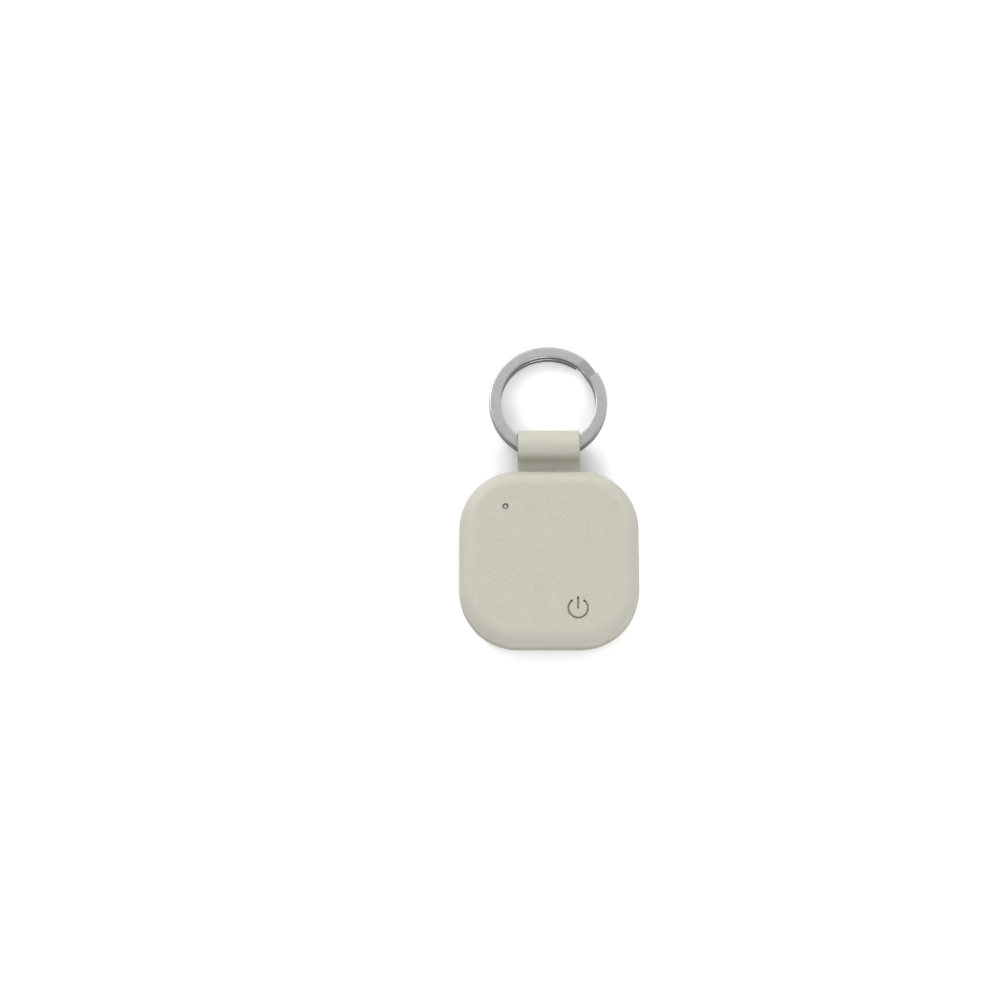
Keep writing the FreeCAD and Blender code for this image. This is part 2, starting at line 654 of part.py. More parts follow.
def battery_cell():
    """A pouch cell with rounded long edges and a sealed lip at the end near the strap."""
    size_x, size_y, size_z = BATTERY_SIZE
    seal_y, seal_z, seal_inset = BATTERY_SEAL
    half_x, end = size_x / 2, BATTERY_Y + size_y / 2
    pouch = box(-half_x, half_x, end - size_y, end - seal_y, BATTERY_LOW, BATTERY_LOW + size_z)
    long_edges = [e for e in pouch.Edges if abs(e.Vertexes[0].Y - e.Vertexes[1].Y) > size_y / 2]
    middle = BATTERY_LOW + size_z / 2
    seal_half = half_x - seal_inset
    seal = box(-seal_half, seal_half, end - seal_y, end, middle - seal_z / 2, middle + seal_z / 2)
    return fuse_all([pouch.makeFillet(BATTERY_EDGE_R, long_edges), seal])


def battery_protection_board():
    chip_low = PROTECTION_LOW + PROTECTION_SIZE[2]
    pieces = [centred_box(0, PROTECTION_Y, PROTECTION_LOW, PROTECTION_SIZE)]
    for x in (-PROTECTION_CHIP_X, PROTECTION_CHIP_X):
        pieces.append(centred_box(x, PROTECTION_Y, chip_low, PROTECTION_CHIP))
    return fuse_all(pieces)


def battery_leads():
    """The two wires from the protection board up to the underside of the main board."""
    low, high = PROTECTION_LOW + PROTECTION_SIZE[2], BOARD_Z - TOUCH
    turn_z = (low + high) / 2
    near, far = BATTERY_LEAD_X
    leads = []
    for side in (-1, 1):
        route = [(near, low), (near, turn_z), (far, turn_z), (far, high)]
        points = [V(side * x, PROTECTION_Y, z) for x, z in route]
        leads.append(bent_wire(points, BATTERY_LEAD_R, BATTERY_LEAD_BEND_R))
    return Part.makeCompound(leads)


# ---------------------------------------------------------------- export
def case_parts():
    case = case_block(0)
    cover_inside = case_block(LEATHER_T)
    shell_outside = case_block(LEATHER_T + GLUE)
    cavity = case_block(CAVITY_INSET)
    return {
        "front_leather_cover": front_leather_cover(case, cover_inside),
        "rear_leather_cover": rear_leather_cover(case, cover_inside),
        "front_shell": front_shell(shell_outside, cavity),
        "rear_shell": rear_shell(shell_outside, cavity),
    }


SINGLE_PARTS = [
    seal_gasket, strap_loop, strap_tail, strap_clamp_plate, strap_screws, split_ring,
    button_plunger, switch_stem, switch_base, switch_frame, switch_dome, light_pipe, status_led,
    main_board, shield_can, bluetooth_chip, board_passives, board_screws,
    buzzer_plate, buzzer_ceramic, buzzer_contacts,
    charging_coil, coil_leads, ferrite_sheet, battery_cell, battery_protection_board, battery_leads,
]
BOARD_PARTS = {"charge_chip": CHARGE_CHIP, "crystal": CRYSTAL, "chip_antenna": ANTENNA}


def main():
    os.makedirs("parts", exist_ok=True)
    shapes = case_parts()
    shapes.update((make.__name__, make()) for make in SINGLE_PARTS)
    shapes.update((name, board_part(place)) for name, place in BOARD_PARTS.items())
    for name, shape in shapes.items():
        volume = sum(solid.Volume for solid in shape.Solids)
        print(f"{name}: {len(shape.Solids)} solids, {volume:.2f} mm3, valid {shape.isValid()}")
        shape.exportStep(os.path.join(STEP_FOLDER, name + ".step"))
    button_room = BUTTON_FLANGE_LOW - BUTTON_TRAVEL - SWITCH_BASE_TOP - SWITCH_FRAME_T
    print(f"button: {button_room:.2f} mm left under the flange when pressed")
    print(f"ring: tilt {math.degrees(ring_tilt()):.3f} deg, centre {ring_reach():.3f} mm from the eye")


main()
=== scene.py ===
import bpy
import json
import math
import numpy as np
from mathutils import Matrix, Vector, noise
from mathutils.geometry import delaunay_2d_cdt


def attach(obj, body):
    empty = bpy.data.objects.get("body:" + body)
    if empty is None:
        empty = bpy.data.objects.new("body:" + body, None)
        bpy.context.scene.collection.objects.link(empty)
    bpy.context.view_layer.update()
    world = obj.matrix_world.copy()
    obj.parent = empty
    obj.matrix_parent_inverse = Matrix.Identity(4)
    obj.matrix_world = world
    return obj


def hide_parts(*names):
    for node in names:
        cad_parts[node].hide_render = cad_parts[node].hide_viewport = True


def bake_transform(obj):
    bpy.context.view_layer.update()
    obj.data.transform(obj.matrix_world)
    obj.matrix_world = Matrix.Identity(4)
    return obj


# Bluetooth tracker tag. Lengths are in millimetres until a mesh is made; the frame is the CAD's.
# A profile or a path in the tag's upright plane is written as (y, z).
MM = 0.001
TINY = 1e-9

# Case
CASE_HALF = 19.0
CORNER_R = 12.4
CASE_T = 8.6
SEAM_Z = 4.3
FRONT_EDGE_R = 3.5
BACK_EDGE_R = 2.3
COVER_T = 0.8
SEAM_HALF_GAP = 0.03
ROLL_R = 0.24                   # rounding of a cover's cut edge
INNER_ROLL_R = 0.08
SLOT_HALF_W = 6.72
SLOT_HALF_H = 0.9
SLOT_FILLET = 0.3

# Cover meshes
COVER_SPACING = 0.17
RIM_SPACING = 0.36
INNER_SPACING = 1.6
MARK_SPACING = 0.065
BUTTON_SPACING = 0.14
HOLE_POINTS = 48

# Leather grain
GRAIN_SIZE = (0.95, 0.5, 0.7)            # a pebble's size along each axis
GRAIN_DEPTH = 0.085
GRAIN_CREASE = 0.42                     # share of a pebble taken by the crease round it
GRAIN_DRIFT = (0.55, 1.6)               # how far the rows of pebbles wander, and over what length
GRAIN_SEED = 11                         # fixes the offsets that the drift is taken from
GRAIN_PATCH = 3.2                       # size of the patches with deeper or shallower creases
GRAIN_PATCH_DEPTH = (0.35, 1.1)         # the least depth in a patch, and how much more there can be
GRAIN_PARTS = (0.6, 0.25, 0.15)         # shares of the depth: creases, pebbles and fine unevenness
GRAIN_FINE = 3.1                        # fine unevenness, in waves per millimetre
# painted shade in the creases of the grain
CREASE_SHADE = 0.06
SWELL_SIZE = 4.2
SWELL_DEPTH = 0.012
EDGE_GRAIN = 0.3                        # grain left where the leather is stretched over the edge
EDGE_FADE = (-0.8, 1.6)                 # distances from the flat over which the grain fades

# Standby mark, button and status light
BUTTON_XY = (5.96, -11.0)
MARK_R = 2.05
MARK_HALF_STROKE = 0.12         # flat bottom of the pressed line
MARK_WALL = 0.12                # width of the soft wall on each side of it
MARK_DEPTH = 0.3
MARK_GAP_DEG = 41.0
MARK_BAR = (0.0, 2.2)
MARK_PIT = (0.2, 0.16)          # radius and extra depth of the pits at the ends of the lines
# painted shade in the bottom of the pressed mark and its pits
MARK_SHADE = 0.7
MARK_GRAIN = 0.3                # share of the grain left in the bottom of the mark
MARK_REACH = 2.75
CUT_EDGE_TONE = 0.45
LIGHT_EDGE_TONE = 1.9           # how much more of that tone the light's hole has
SEAM_SHADE = 0.4                 # painted shade: how much darker the covers are made along the seam
SEAM_SHADE_WIDTH = 2.2
THIN_RING_R = (3.1, 3.7)
THIN_RING_DEPTH = 0.3
BUTTON_STILL_R = 3.8            # radius round the button of the finer mesh in the cover
LIGHT_XY = (-9.25, 10.8)
LIGHT_HOLE_R = 0.57
LIGHT_RIM_R = 0.14
LIGHT_PATCH = (0.45, 0.09)      # reach beyond the hole and spacing of the finer mesh round it
LENS_R = 0.52
LENS_TOP = 8.36
LENS_RISE = 0.16
LENS_FLANGE_R = 1.1
LENS_FLANGE_Z = (6.4, 6.76)

# Strap
STRAP_HALF_W = 6.6
PLY_T = 0.78
PLY_GAP = 0.02
STRAP_Z = 4.3
EYE_R = 2.82
EYE_Y = 24.6
FLEX_Y = 19.3
TAIL_START_Y = 13.75
STRAP_EDGE_R = 0.3
STRAP_STEP = 0.17
STRAP_CREST_GRAIN = 0.3         # grain left where the strap is stretched over the ring
FOLD_SHADE = 0.45                # painted shade: how much darker the strap is made in the hollow of its fold
FOLD_Y = (21.7, 1.5)            # middle and half width of that hollow

# Split ring
RING_R_IN = 10.2
RING_R_OUT = 12.7
WIRE_T = 1.25
WIRE_GAP = 0.1
WIRE_ROUND = 0.25
RAMP_DEG = (33.0, 53.0)
RAMP_END_GAP_DEG = 1.0
RING_STEP_DEG = 1.0
RING_END_ROUND = 0.16
RING_END_TAPER = 0.16           # how much thinner the wire is at its very end
RING_END_STEPS = (0, 0.35, 0.7)
REST_CLEAR = 0.02

# Snap dome under the button
DOME_FLOOR = 5.66
DOME_RISE = 0.28
DOME_RIM_R = 1.45
DOME_INNER_R = 1.31             # the rim's inner edge
DOME_SHEET = 0.05
DOME_RINGS = 10
DOME_SIDES = 48

# Camera, lights and floor
LENS_MM = 85.0
SENSOR_MM = 36.0
PICTURE_WIDTH = 212.0           # width of the scene that the picture covers, at the tag
VIEW_TILT_DEG = 11.0            # between the case's axis and the line of sight to its middle
CASE_IN_PICTURE = (10.4, -12.85)        # the case's middle, right of and above the picture's centre
CASE_MIDDLE = (0.0, -0.105, 4.3)
FLOOR_SIZE = 3000.0
LIGHT_TARGET = (0, 10, 0)

SKY_STRENGTH = 1.05
SKY_BRIGHT = 1.15               # how much brighter it is low down towards +Y
SKY_DIM = 0.92                  # how much dimmer it is low down towards -Y


# ---------------------------------------------------------------- meshes
def make_piece(name, points, faces, material, smooth=True, tone=None):
    """Links a mesh object made from points in millimetres.

    Tone is how darkened its surface is at each point: painted shade in the leather's creases, mark, seam and
    fold, and the real darker colour of cut edges.
    """
    mesh = bpy.data.meshes.new(name)
    mesh.from_pydata((np.asarray(points) * MM).tolist(), [], [list(map(int, face)) for face in faces])
    mesh.validate()
    mesh.polygons.foreach_set("use_smooth", [smooth] * len(mesh.polygons))
    mesh.materials.append(material)
    if tone is not None:
        mesh.attributes.new("tone", "FLOAT", "POINT").data.foreach_set("value", tone.astype(np.float32))
    mesh.update()
    piece = bpy.data.objects.new(name, mesh)
    bpy.context.scene.collection.objects.link(piece)
    return piece


def loop_band(first, second):
    """Quads between two closed loops of vertex numbers with the same count."""
    count = len(first)
    return [(first[i], first[(i + 1) % count], second[(i + 1) % count], second[i]) for i in range(count)]


def grid_faces(rows, columns, start=0):
    """Quads of a tube whose rows are closed loops of vertices."""
    faces = []
    for row in range(rows - 1):
        for column in range(columns):
            following = (column + 1) % columns
            low, high = start + row * columns, start + (row + 1) * columns
            faces.append((low + column, low + following, high + following, high + column))
    return faces


def smoothstep(t):
    t = np.clip(t, 0, 1)
    return t * t * (3 - 2 * t)


def unit(vectors):
    return vectors / np.maximum(np.linalg.norm(vectors, axis=-1, keepdims=True), TINY)


def resample(points, spacing):
    """Evenly spaced points along a closed loop."""
    points = np.asarray(points, float)
    closed = np.vstack([points, points[:1]])
    steps = np.linalg.norm(np.diff(closed, axis=0), axis=1)
    along = np.concatenate([[0], np.cumsum(steps)])
    count = max(8, int(round(along[-1] / spacing)))
    places = np.linspace(0, along[-1], count, endpoint=False)
    return np.stack([np.interp(places, along, closed[:, axis]) for axis in range(2)], 1)


def arc_points(centre, radius, from_deg, to_deg, count):
    angles = np.radians(np.linspace(from_deg, to_deg, count))
    return np.stack([centre[0] + radius * np.cos(angles), centre[1] + radius * np.sin(angles)], 1)


def hex_grid(half, spacing):
    """Points of an even triangular grid over a square."""
    row_height = spacing * math.sqrt(0.75)
    rows = int(half / row_height) + 1
    columns = int(half / spacing) + 2
    points = []
    for row in range(-rows, rows + 1):
        shift = spacing / 2 if row % 2 else 0
        for column in range(-columns, columns + 1):
            points.append((column * spacing + shift, row * row_height))
    return np.array(points)


# ---------------------------------------------------------------- leather
def leather_grain(points):
    """How far the grain lies below the even surface at each point, and the painted shade in its creases
    there.
    """
    drift, drift_size = GRAIN_DRIFT
    least, more = GRAIN_PATCH_DEPTH
    of_crease, of_pebble, of_fine = GRAIN_PARTS
    depths, tones = np.empty(len(points)), np.empty(len(points))
    for index, (x, y, z) in enumerate(points.tolist()):
        place = Vector((x, y, z))
        place += noise.noise_vector(place / drift_size) * drift
        near, next_near = noise.voronoi(Vector(a / b for a, b in zip(place, GRAIN_SIZE)))[0][:2]
        crease = max(0.0, 1 - (next_near - near) / GRAIN_CREASE)
        patch = 0.5 + 0.5 * noise.noise(place / GRAIN_PATCH)
        crease *= crease * (least + more * patch)
        fine = 0.5 + 0.5 * noise.noise(place * GRAIN_FINE)
        swell = 0.5 + 0.5 * noise.noise(place / SWELL_SIZE)
        relief = of_crease * crease + of_pebble * near + of_fine * fine
        depths[index] = GRAIN_DEPTH * relief + SWELL_DEPTH * swell
        # painted shade: the grain's creases are darkened
        tones[index] = CREASE_SHADE * min(1.0, crease)
    return depths, tones


class CaseSkin:
    """A flat sheet laid over one half of the case: u and v on the sheet give a point on its surface.

    The sheet's middle is flat, then it follows the rounded edge and runs down the side to the seam.
    """

    def __init__(self, edge_r, side):
        self.edge_r = edge_r
        self.side = side
        self.flat_half = CASE_HALF - edge_r
        self.flat_corner = CORNER_R - edge_r
        self.core = CASE_HALF - CORNER_R
        face_z = CASE_T if side > 0 else 0.0
        self.face_z = face_z
        self.bend = edge_r * math.pi / 2
        wall = abs(face_z - SEAM_Z) - edge_r - SEAM_HALF_GAP - ROLL_R
        self.reach = self.bend + wall

    def lay(self, sheet):
        """Surface points and outward normals for points of the sheet."""
        anchors = np.clip(sheet, -self.core, self.core)
        away = sheet - anchors
        distance = np.linalg.norm(away, axis=1)
        outward = away / np.maximum(distance, TINY)[:, None]
        beyond = np.clip(distance - self.flat_corner, 0, None)
        angle = np.minimum(beyond, self.bend) / self.edge_r
        wall = np.clip(beyond - self.bend, 0, None)
        radial = np.where(beyond > 0, self.flat_corner + self.edge_r * np.sin(angle), distance)
        drop = self.edge_r * (1 - np.cos(angle)) + wall
        points = np.empty((len(sheet), 3))
        points[:, :2] = anchors + outward * radial[:, None]
        points[:, 2] = self.face_z - self.side * drop
        normals = np.empty_like(points)
        normals[:, :2] = outward * np.sin(angle)[:, None]
        normals[:, 2] = self.side * np.cos(angle)
        return points, normals

    def beyond_flat(self, sheet):
        """Distance of each sheet point outside the flat part, negative inside it."""
        return np.linalg.norm(sheet - np.clip(sheet, -self.core, self.core), axis=1) - self.flat_corner

    def sheet_distance(self, drop):
        """How far beyond the flat a sheet point is, from how far its surface point is below the face."""
        if drop > self.edge_r:
            return self.bend + drop - self.edge_r
        return self.edge_r * math.acos(1 - drop / self.edge_r)

    def outline(self):
        """The sheet's outline, counter-clockwise, with a notch at the top for the strap's slot."""
        half = self.flat_half + self.reach
        corner_r = self.flat_corner + self.reach
        notch_drop = abs(self.face_z - SEAM_Z) - SLOT_HALF_H - ROLL_R
        notch = self.flat_half + self.sheet_distance(notch_drop)
        side = SLOT_HALF_W + ROLL_R
        fillet = SLOT_FILLET
        tilt = math.degrees(math.asin((side + fillet - self.core) / corner_r))
        core = self.core
        return np.vstack([
            arc_points((core, core), corner_r, 0, 90 - tilt, 60),
            arc_points((side + fillet, half - fillet), fillet, 90, 180, 8),
            arc_points((side - fillet, notch + fillet), fillet, 0, -90, 8),
            arc_points((fillet - side, notch + fillet), fillet, -90, -180, 8),
            arc_points((-side - fillet, half - fillet), fillet, 0, 90, 8),
            arc_points((-core, core), corner_r, 90 + tilt, 180, 60),
            arc_points((-core, -core), corner_r, 180, 270, 60),
            arc_points((core, -core), corner_r, 270, 360, 60),
        ])


def inside_outline(points, outline):
    """True for points inside a closed polygon."""
    inside = np.zeros(len(points), bool)
    x, y = points[:, 0], points[:, 1]
    following = np.roll(outline, -1, axis=0)
    for (x0, y0), (x1, y1) in zip(outline, following):
        if y0 == y1:
            continue
        crosses = (y0 > y) != (y1 > y)
        inside ^= crosses & (x < (x1 - x0) * (y - y0) / (y1 - y0) + x0)
    return inside


def clear_of(points, others, gap):
    """Keeps the points that are at least a gap from all of the others."""
    keep = np.ones(len(points), bool)
    for other in others:
        near = np.abs(points[:, 0] - other[0]) < gap
        near &= np.abs(points[:, 1] - other[1]) < gap
        rows = np.nonzero(near)[0]
        if len(rows):
            keep[rows[np.linalg.norm(points[rows] - other, axis=1) < gap]] = False
    return points[keep]


def sheet_points(outline, holes, spacing, patches):
    """Points inside the outline: an even grid, with finer discs in it given as (centre, radius, spacing)."""
    half = np.abs(outline).max()
    grid = hex_grid(half, spacing)
    layers = []
    for index, (centre, radius, fine) in enumerate(patches):
        grid = grid[np.linalg.norm(grid - centre, axis=1) > radius]
        patch = hex_grid(radius, fine) + centre
        patch = patch[np.linalg.norm(patch - centre, axis=1) < radius - 0.3 * fine]
        for inner_centre, inner_radius, _ in patches[index + 1:]:
            if math.dist(centre, inner_centre) < radius:
                patch = patch[np.linalg.norm(patch - inner_centre, axis=1) > inner_radius]
        layers.append(patch)
    grid = grid[inside_outline(grid, outline)]
    for loop in [outline, *holes]:
        grid = clear_of(grid, loop, 0.6 * spacing)
    layers = [clear_of(patch, np.vstack(holes), 0.05) if len(holes) else patch for patch in layers]
    points = np.vstack([grid, *layers])
    for hole in holes:
        points = points[~inside_outline(points, hole)]
    return points


def triangulate(outline, holes, inner_points):
    """Triangles over the sheet. The loops' points come first, in their order, then the inner points."""
    loops = [outline, *holes]
    points = np.vstack([*loops, inner_points])
    edges = []
    start = 0
    for loop in loops:
        count = len(loop)
        edges += [(start + i, start + (i + 1) % count) for i in range(count)]
        start += count
    result = delaunay_2d_cdt([Vector(p) for p in points.tolist()], edges, [], 0, 1e-7)
    sources = [origin[0] for origin in result[3]]
    triangles = np.array([[sources[i] for i in face] for face in result[2]])
    middles = points[triangles].mean(axis=1)
    keep = inside_outline(middles, outline)
    for hole in holes:
        keep &= ~inside_outline(middles, hole)
    triangles = triangles[keep]
    a, b, c = (points[triangles[:, i]] for i in range(3))
    turned = (b[:, 0] - a[:, 0]) * (c[:, 1] - a[:, 1]) - (b[:, 1] - a[:, 1]) * (c[:, 0] - a[:, 0]) < 0
    triangles[turned] = triangles[turned][:, ::-1]
    return points, triangles


def standby_mark(sheet):
    """Depth and painted shade of the pressed standby mark: an open ring, an upright line, and pits at their
    ends.
    """
    local = sheet - np.array(BUTTON_XY)
    angle = np.degrees(np.arctan2(local[:, 0], local[:, 1]))
    radius = np.linalg.norm(local, axis=1)
    gap = math.radians(MARK_GAP_DEG)
    side, up = MARK_R * math.sin(gap), MARK_R * math.cos(gap)
    ends = np.array([(side, up), (-side, up), (0, MARK_BAR[1])])
    to_ends = np.linalg.norm(local[:, None, :] - ends, axis=2)
    ring = np.where(np.abs(angle) >= MARK_GAP_DEG, np.abs(radius - MARK_R), to_ends[:, :2].min(axis=1))
    bar = np.hypot(local[:, 0], local[:, 1] - np.clip(local[:, 1], *MARK_BAR))
    line = smoothstep((MARK_HALF_STROKE + MARK_WALL - np.minimum(ring, bar)) / MARK_WALL)
    pit_r, pit_depth = MARK_PIT
    pit = smoothstep((pit_r + MARK_WALL - to_ends.min(axis=1)) / (pit_r + MARK_WALL) * 1.6)
    return MARK_DEPTH * np.maximum(line, pit) + pit_depth * pit, MARK_SHADE * line + (1 - MARK_SHADE) * pit


def cover_mesh(skin, holes, patches, marked):
    """Points and faces of a closed leather cover: grained outside, rolled cut edges and a plain inside."""
    outline = resample(skin.outline(), RIM_SPACING)
    points, triangles = triangulate(outline, holes, sheet_points(outline, holes, COVER_SPACING, patches))
    surface, normals = skin.lay(points)
    depth, tone = leather_grain(surface)
    fade_from, fade_to = EDGE_FADE
    stretched = smoothstep((skin.beyond_flat(points) - fade_from) / (fade_to - fade_from))
    grain_left = 1 - (1 - EDGE_GRAIN) * stretched
    depth, tone = depth * grain_left, tone * grain_left
    # painted shade along the seam, darkening the case's side towards it
    seam_shade = smoothstep((skin.beyond_flat(points) - skin.reach + SEAM_SHADE_WIDTH) / SEAM_SHADE_WIDTH)
    tone += SEAM_SHADE * seam_shade
    if marked:
        # the pressed mark, with painted shade in its bottom
        mark_depth, mark_shade = standby_mark(points)
        depth = np.maximum(depth, mark_depth + MARK_GRAIN * depth)
        tone = np.maximum(tone, mark_shade)
    outer = surface - normals * depth[:, None]

    inner_rings = [(BUTTON_XY, BUTTON_STILL_R + 0.4, 0.3)] if marked else []
    inner_sheet, inner_triangles = triangulate(
        outline, holes, sheet_points(outline, holes, INNER_SPACING, inner_rings))
    inner_surface, inner_normals = skin.lay(inner_sheet)
    thickness = np.full(len(inner_sheet), COVER_T)
    if marked:
        from_button = np.linalg.norm(inner_sheet - np.array(BUTTON_XY), axis=1)
        thinned = (from_button > THIN_RING_R[0]) & (from_button < THIN_RING_R[1])
        thickness[thinned] -= THIN_RING_DEPTH
    inner = inner_surface - inner_normals * thickness[:, None]

    vertices, tones = [outer, inner], [tone, np.full(len(inner), CUT_EDGE_TONE)]
    inner_start = len(outer)
    next_vertex = len(outer) + len(inner)
    faces = triangles.tolist()
    faces += (inner_triangles[:, ::-1] + inner_start).tolist()
    start = 0
    for loop in [outline, *holes]:
        count = len(loop)
        rows = np.arange(start, start + count)
        along = unit(np.roll(surface[rows], -1, axis=0) - np.roll(surface[rows], 1, axis=0))
        normal = normals[rows]
        out = unit(np.cross(along, normal)) * skin.side
        roll_r = ROLL_R if start == 0 else LIGHT_RIM_R
        edge_tone_scale = 1.0 if start == 0 else LIGHT_EDGE_TONE
        previous = rows
        edge_profile = []
        for deg in (22.5, 45, 67.5, 90):
            sine, cosine = math.sin(math.radians(deg)), math.cos(math.radians(deg))
            edge_profile.append((roll_r * sine, roll_r * (1 - cosine), cosine))
        for deg in (90, 45):
            sine, cosine = math.sin(math.radians(deg)), math.cos(math.radians(deg))
            swing = roll_r - INNER_ROLL_R * (1 - sine)
            sink = COVER_T - INNER_ROLL_R * (1 - cosine)
            edge_profile.append((swing, sink, 0))
        for swing, sink, grain_share in edge_profile:
            lower = sink + depth[rows] * grain_share
            vertices.append(surface[rows] + out * swing - normal * lower[:, None])
            tones.append(np.full(count, CUT_EDGE_TONE * (1 - grain_share) * edge_tone_scale))
            ring = np.arange(next_vertex, next_vertex + count)
            faces += loop_band(previous, ring)
            previous, next_vertex = ring, next_vertex + count
        faces += loop_band(previous, rows + inner_start)
        start += count
    if skin.side < 0:
        faces = [face[::-1] for face in faces]
    return np.vstack(vertices), faces, np.concatenate(tones)


def blend_by_radius(piece):
    """Reads the coordinates of the piece's points; nothing is set from them."""
    coordinates = np.empty(len(piece.data.vertices) * 3)
    piece.data.vertices.foreach_get("co", coordinates)


# ---------------------------------------------------------------- strap
def strap_path():
    """The middle line of the strap's single ply, from its lower end round the eye to its upper end."""
    half = PLY_T / 2
    loop_r = EYE_R + PLY_T
    span = EYE_Y - FLEX_Y
    flank_r = (span ** 2 + PLY_T ** 2 - loop_r ** 2) / (2 * (loop_r - PLY_T))
    slope = math.degrees(math.asin(span / (loop_r + flank_r)))
    flank_centre = (FLEX_Y, STRAP_Z + PLY_T + flank_r)
    tail = np.linspace(TAIL_START_Y, FLEX_Y, 34)[:-1]
    upper = np.vstack([
        arc_points((EYE_Y, STRAP_Z), EYE_R + half, 0, 90 + slope, 80)[:-1],
        arc_points(flank_centre, flank_r + half, -90 + slope, -90, 24)[:-1],
        np.stack([tail[::-1], np.full(len(tail), STRAP_Z + half)], 1),
    ])
    lower = upper[:0:-1] * (1, -1) + (0, 2 * STRAP_Z)
    return np.vstack([lower, upper])


def open_resample(points, spacing):
    steps = np.linalg.norm(np.diff(points, axis=0), axis=1)
    along = np.concatenate([[0], np.cumsum(steps)])
    places = np.linspace(0, along[-1], int(round(along[-1] / spacing)) + 1)
    return np.stack([np.interp(places, along, points[:, axis]) for axis in range(2)], 1)


def strap_section():
    """Closed section of the ply: positions across the strap and along its thickness, and the edge's share."""
    half_w, half_t = STRAP_HALF_W, (PLY_T - PLY_GAP) / 2
    flat = half_w - STRAP_EDGE_R
    across = np.linspace(-flat, flat, int(2 * flat / STRAP_STEP))
    inner_across = np.linspace(flat, -flat, 24)
    right = arc_points((flat, half_t - STRAP_EDGE_R), STRAP_EDGE_R, 90, 0, 6)[1:]
    right_low = arc_points((flat, STRAP_EDGE_R - half_t), STRAP_EDGE_R, 0, -90, 6)[:-1]
    outer = np.stack([across, np.full(len(across), half_t)], 1)
    inner = np.stack([inner_across, np.full(len(inner_across), -half_t)], 1)
    left_low = right_low[::-1] * (-1, 1)
    left = right[::-1] * (-1, 1)
    return np.vstack([outer, right, right_low, inner, left_low, left])


def strap_mesh():
    path = open_resample(strap_path(), STRAP_STEP)
    along = unit(np.gradient(path, axis=0))
    outward = np.stack([along[:, 1], -along[:, 0]], 1)
    section = strap_section()
    rows = []
    for (y, z), (out_y, out_z) in zip(path, outward):
        across, rise = section[:, 0], section[:, 1]
        rows.append(np.stack([across, y + out_y * rise, z + out_z * rise], 1))
    points = np.array(rows)
    count_rows, count_columns = points.shape[:2]
    half_t = (PLY_T - PLY_GAP) / 2
    outer_share = np.clip(section[:, 1] / half_t, 0, 1)
    normals = np.zeros_like(points)
    normals[:, :, 1] = outward[:, None, 0]
    normals[:, :, 2] = outward[:, None, 1]
    depth, tone = leather_grain(points.reshape(-1, 3))
    flank = smoothstep((EYE_Y + 0.5 - path[:, 0]) / 2.0)[:, None]
    grain_left = outer_share * (STRAP_CREST_GRAIN + (1 - STRAP_CREST_GRAIN) * flank)
    depth = depth.reshape(count_rows, count_columns) * grain_left
    tone = tone.reshape(count_rows, count_columns) * grain_left + CUT_EDGE_TONE * (1 - outer_share)
    # painted shade in the hollow of the strap's fold
    fold_shade = smoothstep(1 - np.abs(path[:, 0] - FOLD_Y[0]) / FOLD_Y[1])[:, None]
    tone = tone + FOLD_SHADE * fold_shade * outer_share
    points -= normals * depth[:, :, None]
    faces = grid_faces(count_rows, count_columns)
    faces.append(tuple(range(count_columns))[::-1])
    last = (count_rows - 1) * count_columns
    faces.append(tuple(range(last, last + count_columns)))
    return points.reshape(-1, 3), faces, tone.ravel()


# ---------------------------------------------------------------- ring
def ring_pose():
    """The ring's tilt in radians and its centre, from the same rule as the CAD."""
    reach = (math.sqrt(RING_R_IN ** 2 - STRAP_HALF_W ** 2) + RING_R_OUT) / 2
    far = reach + RING_R_OUT - WIRE_ROUND
    half = WIRE_T + WIRE_GAP / 2 - WIRE_ROUND
    drop = STRAP_Z - WIRE_ROUND - REST_CLEAR
    tilt = math.asin(drop / math.hypot(far, half)) - math.atan2(half, far)
    centre = np.array([0.0, EYE_Y + reach * math.cos(tilt), STRAP_Z - reach * math.sin(tilt)])
    return tilt, centre


def wire_section():
    half_w, half_t = (RING_R_OUT - RING_R_IN) / 2, WIRE_T / 2
    flat_w, flat_t = half_w - WIRE_ROUND, half_t - WIRE_ROUND
    corners = []
    for centre, start in [((flat_w, flat_t), 0), ((-flat_w, flat_t), 90),
                          ((-flat_w, -flat_t), 180), ((flat_w, -flat_t), 270)]:
        corners.append(arc_points(centre, WIRE_ROUND, start, start + 90, 6))
    section = []
    for corner, following in zip(corners, corners[1:] + corners[:1]):
        section += list(corner)
        for share in (0.25, 0.5, 0.75):
            section.append(corner[-1] * (1 - share) + following[0] * share)
    return np.array(section)


